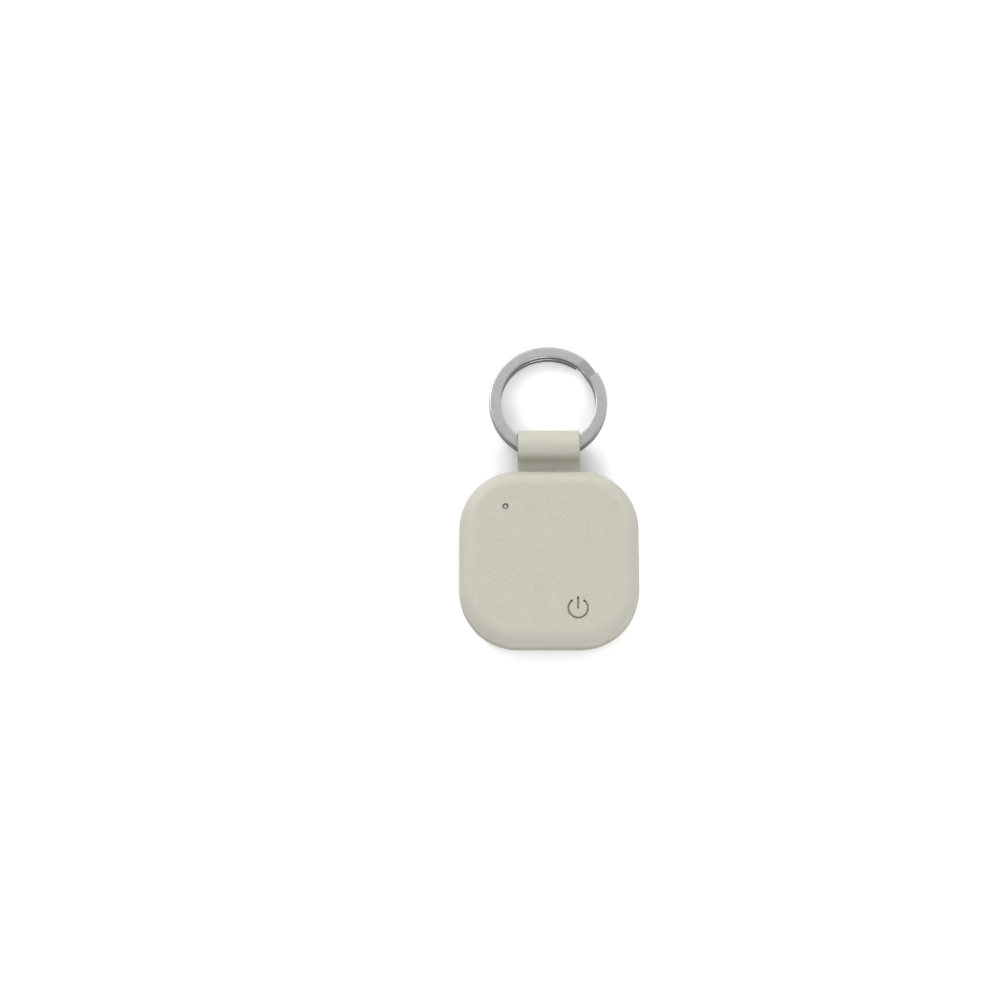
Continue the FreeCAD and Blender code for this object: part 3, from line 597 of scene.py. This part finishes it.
def ring_mesh():
    """One flat wire: the back turn, the crossing, then the front turn over it."""
    level = (WIRE_T + WIRE_GAP) / 2
    start, end = RAMP_DEG
    turn = 360 - (end - start) - RAMP_END_GAP_DEG
    first = end + RAMP_END_GAP_DEG - 360
    last = end + turn
    degs = np.arange(first, last + TINY, RING_STEP_DEG)
    end_deg = math.degrees(RING_END_ROUND / RING_R_OUT)
    section = wire_section()
    middle_r = (RING_R_IN + RING_R_OUT) / 2
    blunt = []
    for share in RING_END_STEPS:
        inset = end_deg * (1 - math.sqrt(1 - (1 - share) ** 2))
        blunt.append((inset, 1 - RING_END_TAPER * (1 - share) ** 2))
    stations = [(first + inset, scale) for inset, scale in blunt]
    stations += [(deg, 1.0) for deg in degs[1:-1]]
    stations += [(last - inset, scale) for inset, scale in reversed(blunt)]
    rows = []
    for deg, scale in stations:
        rise = float(smoothstep((deg - start) / (end - start)))
        height = level * (2 * rise - 1)
        radius = middle_r + section[:, 0] * scale
        angle = math.radians(deg)
        rows.append(np.stack([radius * math.cos(angle), radius * math.sin(angle),
                              height + section[:, 1] * scale], 1))
    points = np.array(rows)
    count_rows, count_columns = points.shape[:2]
    tilt, centre = ring_pose()
    cos_t, sin_t = math.cos(-tilt), math.sin(-tilt)
    turn_x = np.array([[1, 0, 0], [0, cos_t, -sin_t], [0, sin_t, cos_t]])
    points = points.reshape(-1, 3) @ turn_x.T + centre
    faces = [face[::-1] for face in grid_faces(count_rows, count_columns)]
    faces.append(tuple(range(count_columns)))
    last_row = (count_rows - 1) * count_columns
    faces.append(tuple(range(last_row, last_row + count_columns))[::-1])
    return points, faces


# ---------------------------------------------------------------- light
def lens_mesh(sides=48):
    """The light pipe: a turned rod with a foot flange and a domed end."""
    dome_r = (LENS_R ** 2 + LENS_RISE ** 2) / (2 * LENS_RISE)
    foot_z, flange_z = LENS_FLANGE_Z
    profile = [(0.0, foot_z), (LENS_FLANGE_R, foot_z), (LENS_FLANGE_R, flange_z), (LENS_R, flange_z)]
    profile.append((LENS_R, LENS_TOP - LENS_RISE))
    for share in np.linspace(0.9, 0.1, 7):
        radius = LENS_R * share
        profile.append((radius, LENS_TOP - dome_r + math.sqrt(dome_r ** 2 - radius ** 2)))
    x, y = LIGHT_XY
    points = [(x, y, profile[0][1])]
    for radius, z in profile[1:]:
        ring = arc_points((x, y), radius, 0, 360 * (1 - 1 / sides), sides)
        points += [(px, py, z) for px, py in ring]
    points.append((x, y, LENS_TOP))
    rows = len(profile) - 1
    faces = grid_faces(rows, sides, start=1)
    faces += [(0, 1 + (i + 1) % sides, 1 + i) for i in range(sides)]
    top = len(points) - 1
    last = 1 + (rows - 1) * sides
    faces += [(top, last + i, last + (i + 1) % sides) for i in range(sides)]
    return points, faces


# ---------------------------------------------------------------- dome
def dome_mesh():
    """The switch's snap dome: a thin spherical cap standing on its rim."""
    ball_r = (DOME_RIM_R ** 2 + DOME_RISE ** 2) / (2 * DOME_RISE)
    centre_z = DOME_FLOOR + DOME_RISE - ball_r
    reach = np.linspace(0, 1, DOME_RINGS + 1)
    rim_angle = math.asin(DOME_RIM_R / ball_r)
    inner_angle = math.asin(DOME_INNER_R / (ball_r - DOME_SHEET))
    profile = [(ball_r, turn) for turn in reach[1:] * rim_angle]
    profile += [(ball_r - DOME_SHEET, turn) for turn in reach[:0:-1] * inner_angle]
    x, y = BUTTON_XY
    around = np.linspace(0, 2 * math.pi, DOME_SIDES, endpoint=False)
    points = [(x, y, centre_z + ball_r), (x, y, centre_z + ball_r - DOME_SHEET)]
    loops = []
    for radius, turn in profile:
        loops.append(list(range(len(points), len(points) + DOME_SIDES)))
        out, height = radius * math.sin(turn), centre_z + radius * math.cos(turn)
        points += [(x + out * math.cos(angle), y + out * math.sin(angle), height) for angle in around]
    faces = []
    for near, far in zip(loops, loops[1:]):
        faces += loop_band(far, near)
    for i in range(DOME_SIDES):
        after = (i + 1) % DOME_SIDES
        faces.append((0, loops[0][i], loops[0][after]))
        faces.append((1, loops[-1][after], loops[-1][i]))
    return np.array(points), faces


# ---------------------------------------------------------------- materials
class Nodes:
    """Short ways to add and join the nodes of one material."""

    def __init__(self, name):
        self.material = bpy.data.materials.new(name)
        self.material.use_nodes = True
        self.tree = self.material.node_tree
        self.shader = self.tree.nodes["Principled BSDF"]

    def add(self, kind, values=None, **settings):
        node = self.tree.nodes.new(kind)
        for key, value in settings.items():
            setattr(node, key, value)
        for key, value in (values or {}).items():
            self.put(node.inputs[key], value)
        return node

    def put(self, socket, value):
        if isinstance(value, bpy.types.NodeSocket):
            self.tree.links.new(value, socket)
        else:
            socket.default_value = value

    def math(self, operation, *values):
        node = self.add("ShaderNodeMath", operation=operation)
        for index, value in enumerate(values):
            self.put(node.inputs[index], value)
        return node.outputs[0]

    def place(self, scale=(1.0, 1.0, 1.0)):
        """Object coordinates, in units of the given size in millimetres."""
        coordinates = self.add("ShaderNodeTexCoord").outputs["Object"]
        if isinstance(scale, (int, float)):
            scale = (scale,) * 3
        mapping = self.add("ShaderNodeMapping", {"Vector": coordinates})
        mapping.inputs["Scale"].default_value = [1 / (size * MM) for size in scale]
        return mapping.outputs[0]

    def noise(self, size, detail=3.0, roughness=0.5):
        node = self.add("ShaderNodeTexNoise", {
            "Vector": self.place(size), "Scale": 1.0, "Detail": detail, "Roughness": roughness})
        return node.outputs["Fac"]

    def cells(self, size, warp):
        """Distance to the edge of warped cells."""
        place = self.place(size)
        shift = self.add("ShaderNodeTexNoise", {"Vector": place, "Scale": 0.7, "Detail": 1.0})
        warped = self.add("ShaderNodeVectorMath", {
            0: shift.outputs["Color"], 1: (warp, warp, warp), 2: place}, operation="MULTIPLY_ADD")
        node = self.add("ShaderNodeTexVoronoi", {"Vector": warped.outputs[0], "Scale": 1.0},
                        feature="DISTANCE_TO_EDGE")
        return node.outputs["Distance"]

    def remap(self, value, low, high, to_low=0.0, to_high=1.0):
        node = self.add("ShaderNodeMapRange", {
            "Value": value, "From Min": low, "From Max": high, "To Min": to_low, "To Max": to_high})
        return node.outputs[0]

    def mix(self, factor, first, second):
        node = self.add("ShaderNodeMix", data_type="RGBA")
        self.put(node.inputs[0], factor)
        self.put(node.inputs[6], first)
        self.put(node.inputs[7], second)
        return node.outputs[2]

    def bump(self, height, distance):
        values = {"Height": height, "Distance": distance * MM, "Strength": 1.0}
        return self.add("ShaderNodeBump", values).outputs[0]

    def finish(self, **sockets):
        for key, value in sockets.items():
            self.put(self.shader.inputs[key.replace("_", " ")], value)
        return self.material


def colour(red, green, blue):
    return (red, green, blue, 1.0)


def shade(base, factor):
    return colour(*(channel * factor for channel in base[:3]))


def leather_material(name, base, rough=0.56):
    nodes = Nodes(name)
    fine = nodes.cells((0.42, 0.32, 0.38), warp=0.8)
    crease = nodes.remap(fine, 0.0, 0.22, 1.0, 0.0)
    pores = nodes.noise(0.12, detail=2.0)
    mottle = nodes.noise(3.0, detail=4.0, roughness=0.6)
    tone = nodes.mix(nodes.remap(mottle, 0.35, 0.65), shade(base, 0.985), shade(base, 1.015))
    # painted shade: the fine creases of the grain are darkened
    tone = nodes.mix(nodes.math("MULTIPLY", crease, 0.3), tone, shade(base, 0.86))
    # the tone attribute darkens the leather: painted shade in the creases, the pressed mark, along the seam
    # and in the strap's fold, and the real darker colour of cut edges
    shade_and_edge_tone = nodes.add("ShaderNodeAttribute", attribute_name="tone").outputs["Fac"]
    tone = nodes.mix(shade_and_edge_tone, tone, colour(0.42 * base[0], 0.41 * base[1], 0.36 * base[2]))
    height = nodes.math("SUBTRACT", nodes.math("MULTIPLY", pores, 0.25), crease)
    normal = nodes.bump(height, 0.012)
    roughness = nodes.remap(mottle, 0.3, 0.7, rough - 0.05, rough + 0.06)
    return nodes.finish(Base_Color=tone, Roughness=roughness, Normal=normal,
                        Specular_IOR_Level=0.42)


def ring_material(name):
    """Nickel-plated flat wire: brushed round the ring, with painted shade on the walls, which are coloured
    much darker than the faces.
    """
    nodes = Nodes(name)
    tilt, centre = ring_pose()
    coordinates = nodes.add("ShaderNodeTexCoord").outputs["Object"]
    shifted = nodes.add("ShaderNodeVectorMath", {0: coordinates}, operation="SUBTRACT")
    shifted.inputs[1].default_value = [length * MM for length in centre]
    turned = nodes.add("ShaderNodeVectorRotate", {"Vector": shifted.outputs[0]}, rotation_type="X_AXIS")
    turned.inputs["Angle"].default_value = tilt
    scaled = nodes.add("ShaderNodeVectorMath", {0: turned.outputs[0]}, operation="SCALE")
    scaled.inputs["Scale"].default_value = 1 / MM
    split = nodes.add("ShaderNodeSeparateXYZ", {0: scaled.outputs[0]})
    x, y, z = split.outputs
    radius = nodes.math("SQRT", nodes.math("ADD", nodes.math("MULTIPLY", x, x), nodes.math("MULTIPLY", y, y)))
    around = nodes.add("ShaderNodeCombineXYZ", {
        0: nodes.math("MULTIPLY", radius, 14.0),
        1: nodes.math("MULTIPLY", nodes.math("DIVIDE", x, radius), 5.0),
        2: nodes.math("MULTIPLY", nodes.math("DIVIDE", y, radius), 5.0)})
    brushed = nodes.add("ShaderNodeTexNoise", {
        "Vector": around.outputs[0], "W": nodes.math("MULTIPLY", z, 14.0), "Scale": 1.0, "Detail": 3.0},
        noise_dimensions="4D").outputs["Fac"]
    wear = nodes.noise(1.6, detail=4.0, roughness=0.62)
    middle_r = (RING_R_IN + RING_R_OUT) / 2
    half_w = (RING_R_OUT - RING_R_IN) / 2
    off_middle = nodes.math("ABSOLUTE", nodes.math("SUBTRACT", radius, middle_r))
    # painted shade: the walls are coloured much darker than the faces
    wall = nodes.remap(off_middle, half_w - 0.06, half_w - 0.01)
    face = nodes.mix(nodes.remap(wear, 0.35, 0.65), colour(0.385, 0.384, 0.381), colour(0.40, 0.399, 0.396))
    tone = nodes.mix(wall, face, colour(0.15, 0.149, 0.147))
    roughness = nodes.math("ADD", nodes.remap(brushed, 0.3, 0.7, 0.24, 0.34),
                           nodes.remap(wear, 0.3, 0.7, -0.02, 0.03))
    normal = nodes.bump(brushed, 0.004)
    return nodes.finish(Base_Color=tone, Metallic=1.0, Roughness=roughness, Normal=normal)


def lens_material(name):
    nodes = Nodes(name)
    haze = nodes.noise(0.3, detail=2.0)
    tone = nodes.mix(haze, colour(0.30, 0.31, 0.30), colour(0.42, 0.43, 0.42))
    return nodes.finish(Base_Color=tone, Roughness=nodes.remap(haze, 0.3, 0.7, 0.12, 0.2),
                        Coat_Weight=0.8, Coat_Roughness=0.04, Subsurface_Weight=0.2)


def grained_material(name, base, rough, size, spread=0.08, bump=0.004, metal=0.0, stretch=(1, 1, 1), **extra):
    """A plain technical surface: two tones, uneven roughness and a fine relief, all from one noise field."""
    nodes = Nodes(name)
    field = nodes.noise(tuple(size * s for s in stretch), detail=4.0, roughness=0.6)
    broad = nodes.noise(size * 6, detail=2.0)
    mixed = nodes.remap(nodes.math("ADD", field, broad), 0.75, 1.25)
    tone = nodes.mix(mixed, shade(base, 1 - spread), shade(base, 1 + spread))
    roughness = nodes.remap(field, 0.3, 0.7, max(0.03, rough - 0.07), min(1.0, rough + 0.07))
    normal = nodes.bump(field, bump)
    return nodes.finish(Base_Color=tone, Roughness=roughness, Normal=normal, Metallic=metal, **extra)


LEATHER = colour(0.394, 0.382, 0.340)
TECHNICAL = {
    "shell_plastic": dict(base=colour(0.055, 0.057, 0.06), rough=0.48, size=0.25),
    "seal_rubber": dict(base=colour(0.03, 0.03, 0.032), rough=0.7, size=0.3),
    "clamp_steel": dict(base=colour(0.55, 0.55, 0.54), rough=0.34, size=0.5, metal=1.0, stretch=(8, 0.4, 1)),
    "screw_steel": dict(base=colour(0.42, 0.42, 0.42), rough=0.32, size=0.3, metal=1.0),
    "button_plastic": dict(base=colour(0.62, 0.62, 0.60), rough=0.4, size=0.25),
    "switch_plastic": dict(base=colour(0.035, 0.035, 0.038), rough=0.5, size=0.2),
    "spring_steel": dict(base=colour(0.66, 0.65, 0.62), rough=0.25, size=0.3, metal=1.0, stretch=(6, 0.5, 1)),
    "led_package": dict(base=colour(0.75, 0.74, 0.66), rough=0.35, size=0.2),
    "board_laminate": dict(base=colour(0.012, 0.09, 0.045), rough=0.38, size=0.3, stretch=(3, 0.6, 1)),
    "shield_tinplate": dict(
        base=colour(0.58, 0.59, 0.58), rough=0.3, size=0.5, metal=1.0, stretch=(5, 0.5, 1)),
    "chip_epoxy": dict(base=colour(0.018, 0.018, 0.02), rough=0.55, size=0.12, bump=0.006),
    "crystal_can": dict(base=colour(0.70, 0.68, 0.62), rough=0.26, size=0.3, metal=1.0),
    "antenna_ceramic": dict(base=colour(0.66, 0.64, 0.58), rough=0.42, size=0.2),
    "passive_ceramic": dict(base=colour(0.33, 0.24, 0.15), rough=0.45, size=0.15),
    "buzzer_brass": dict(base=colour(0.78, 0.58, 0.26), rough=0.28, size=0.5, metal=1.0, stretch=(6, 0.5, 1)),
    "buzzer_ceramic": dict(base=colour(0.72, 0.68, 0.58), rough=0.5, size=0.2),
    "contact_gold": dict(base=colour(0.90, 0.66, 0.26), rough=0.24, size=0.3, metal=1.0),
    "coil_copper": dict(base=colour(0.72, 0.30, 0.15), rough=0.3, size=0.3, metal=1.0),
    "ferrite": dict(base=colour(0.025, 0.024, 0.026), rough=0.6, size=0.2),
    "battery_pouch": dict(base=colour(0.56, 0.57, 0.58), rough=0.33, size=1.2, metal=1.0, bump=0.03),
    "wire_insulation": dict(base=colour(0.45, 0.02, 0.02), rough=0.4, size=0.3),
}


def slot_materials():
    """A material for every slot in the record."""
    made = {name: grained_material(name, **values) for name, values in TECHNICAL.items()}
    made["case_leather"] = leather_material("case_leather", LEATHER)
    made["strap_leather"] = leather_material("strap_leather", LEATHER)
    made["ring_steel"] = ring_material("ring_steel")
    made["light_pipe_clear"] = lens_material("light_pipe_clear")
    return made


# ---------------------------------------------------------------- the pieces
def build_covers(materials):
    hole_r = LIGHT_HOLE_R + LIGHT_RIM_R
    light_hole = arc_points(LIGHT_XY, hole_r, 0, -360 * (1 - 1 / HOLE_POINTS), HOLE_POINTS)
    patches = [
        (np.array(BUTTON_XY), BUTTON_STILL_R + 0.2, BUTTON_SPACING),
        (np.array(BUTTON_XY), MARK_REACH, MARK_SPACING),
        (np.array(LIGHT_XY), hole_r + LIGHT_PATCH[0], LIGHT_PATCH[1]),
    ]
    points, faces, tone = cover_mesh(CaseSkin(FRONT_EDGE_R, 1), [light_hole], patches, marked=True)
    front = make_piece("front_leather", points, faces, materials["case_leather"], tone=tone)
    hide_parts("front_leather_cover")
    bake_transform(front)
    blend_by_radius(front)

    points, faces, tone = cover_mesh(CaseSkin(BACK_EDGE_R, -1), [], [], marked=False)
    rear = make_piece("rear_leather", points, faces, materials["case_leather"], tone=tone)
    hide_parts("rear_leather_cover")
    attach(rear, "tag")


def build_strap(materials):
    points, faces, tone = strap_mesh()
    strap = make_piece("strap_band", points, faces, materials["strap_leather"], tone=tone)
    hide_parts("strap_loop", "strap_tail")
    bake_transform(strap)


def build_ring(materials):
    points, faces = ring_mesh()
    ring = make_piece("key_ring_wire", points, faces, materials["ring_steel"])
    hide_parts("split_ring")
    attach(ring, "ring")


def build_lens(materials):
    points, faces = lens_mesh()
    lens = make_piece("light_lens", points, faces, materials["light_pipe_clear"])
    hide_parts("light_pipe")
    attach(lens, "tag")


def build_dome(materials):
    """The switch's snap dome, made as one piece."""
    points, faces = dome_mesh()
    dome = make_piece("snap_dome", points, faces, materials["spring_steel"])
    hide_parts("switch_dome")
    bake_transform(dome)


def dress_cad_nodes(frame, materials):
    """Gives each CAD node the material of its slot in the record."""
    for row in frame["record"]["subparts"]:
        mesh = frame["nodes"][row["node"]].data
        mesh.materials.clear()
        mesh.materials.append(materials[row["material_slot"]])


# ---------------------------------------------------------------- stage, light and camera
def build_floor():
    half = FLOOR_SIZE / 2
    nodes = Nodes("floor_paper")
    grain = nodes.noise(40.0, detail=3.0)
    tone = nodes.mix(grain, colour(0.86, 0.86, 0.86), colour(0.89, 0.89, 0.89))
    material = nodes.finish(Base_Color=tone, Roughness=0.9, Specular_IOR_Level=0.1)
    corners = [(-half, -half, 0), (half, -half, 0), (half, half, 0), (-half, half, 0)]
    floor = make_piece("floor", corners, [(0, 1, 2, 3)], material, smooth=False)


def aim(thing, place, target):
    direction = Vector(target) - Vector(place)
    thing.location = Vector(place) * MM
    thing.rotation_euler = direction.to_track_quat("-Z", "Y").to_euler()


def area_light(name, place, size, power):
    data = bpy.data.lights.new(name, "AREA")
    data.shape = "RECTANGLE"
    data.size, data.size_y = (length * MM for length in size)
    data.energy = power
    light = bpy.data.objects.new(name, data)
    bpy.context.scene.collection.objects.link(light)
    aim(light, place, LIGHT_TARGET)


def build_sky():
    """A soft white surround: brighter towards +Y, and dimmer low down towards -Y."""
    world = bpy.data.worlds.new("studio")
    bpy.context.scene.world = world
    world.use_nodes = True
    tree = world.node_tree

    def sky_math(operation, *values):
        node = tree.nodes.new("ShaderNodeMath")
        node.operation = operation
        for index, value in enumerate(values):
            if isinstance(value, bpy.types.NodeSocket):
                tree.links.new(value, node.inputs[index])
            else:
                node.inputs[index].default_value = value
        return node.outputs[0]

    def ramp(value, low, high):
        node = tree.nodes.new("ShaderNodeMapRange")
        node.interpolation_type = "SMOOTHSTEP"
        tree.links.new(value, node.inputs["Value"])
        node.inputs["From Min"].default_value = low
        node.inputs["From Max"].default_value = high
        return node.outputs[0]

    direction = tree.nodes.new("ShaderNodeTexCoord").outputs["Generated"]
    split = tree.nodes.new("ShaderNodeSeparateXYZ")
    tree.links.new(direction, split.inputs[0])
    _, y, z = split.outputs
    bright = sky_math("MULTIPLY", ramp(y, -0.1, 0.8), ramp(z, 1.05, 0.45))
    dim = sky_math("MULTIPLY", ramp(y, -0.1, -0.7), ramp(z, 0.5, 0.08))
    gain = sky_math("MULTIPLY_ADD", bright, SKY_BRIGHT, 1.0)
    cut = sky_math("MULTIPLY_ADD", dim, -SKY_DIM, 1.0)
    strength = sky_math("MULTIPLY", sky_math("MULTIPLY", gain, cut), SKY_STRENGTH)
    background = tree.nodes["Background"]
    background.inputs["Color"].default_value = colour(1.0, 1.0, 1.0)
    tree.links.new(strength, background.inputs["Strength"])


def build_lights():
    area_light("key_light", (-420, 470, 360), (380, 380), 1.8)
    area_light("fill_light", (160, -480, 360), (420, 300), 1.9)


def build_camera():
    depth = PICTURE_WIDTH * LENS_MM / SENSOR_MM
    right, up = CASE_IN_PICTURE
    tilt = math.radians(VIEW_TILT_DEG) + math.atan(-up / depth)
    forward = Vector((0, math.sin(tilt), -math.cos(tilt)))
    upward = Vector((0, math.cos(tilt), math.sin(tilt)))
    place = Vector(CASE_MIDDLE) - forward * depth - Vector((right, 0, 0)) - upward * up
    data = bpy.data.cameras.new("camera")
    data.lens = LENS_MM
    data.sensor_width = SENSOR_MM
    data.clip_start, data.clip_end = 0.01, 10.0
    camera = bpy.data.objects.new("camera", data)
    camera.location = place * MM
    camera.rotation_euler = (tilt, 0, 0)
    bpy.context.scene.collection.objects.link(camera)
    bpy.context.scene.camera = camera


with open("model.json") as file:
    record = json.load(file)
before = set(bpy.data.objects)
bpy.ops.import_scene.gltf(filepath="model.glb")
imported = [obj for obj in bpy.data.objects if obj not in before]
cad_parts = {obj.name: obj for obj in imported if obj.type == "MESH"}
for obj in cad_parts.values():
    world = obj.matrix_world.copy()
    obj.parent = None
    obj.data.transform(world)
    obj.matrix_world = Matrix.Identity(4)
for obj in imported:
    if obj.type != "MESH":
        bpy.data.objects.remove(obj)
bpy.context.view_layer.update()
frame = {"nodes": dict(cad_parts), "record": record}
noise.seed_set(GRAIN_SEED)
materials = slot_materials()
dress_cad_nodes(frame, materials)
build_covers(materials)
build_strap(materials)
build_ring(materials)
build_lens(materials)
build_dome(materials)
build_floor()
build_sky()
build_lights()
build_camera()
bpy.context.scene.view_settings.view_transform = "Standard"
bpy.context.scene.view_settings.gamma = 0.8
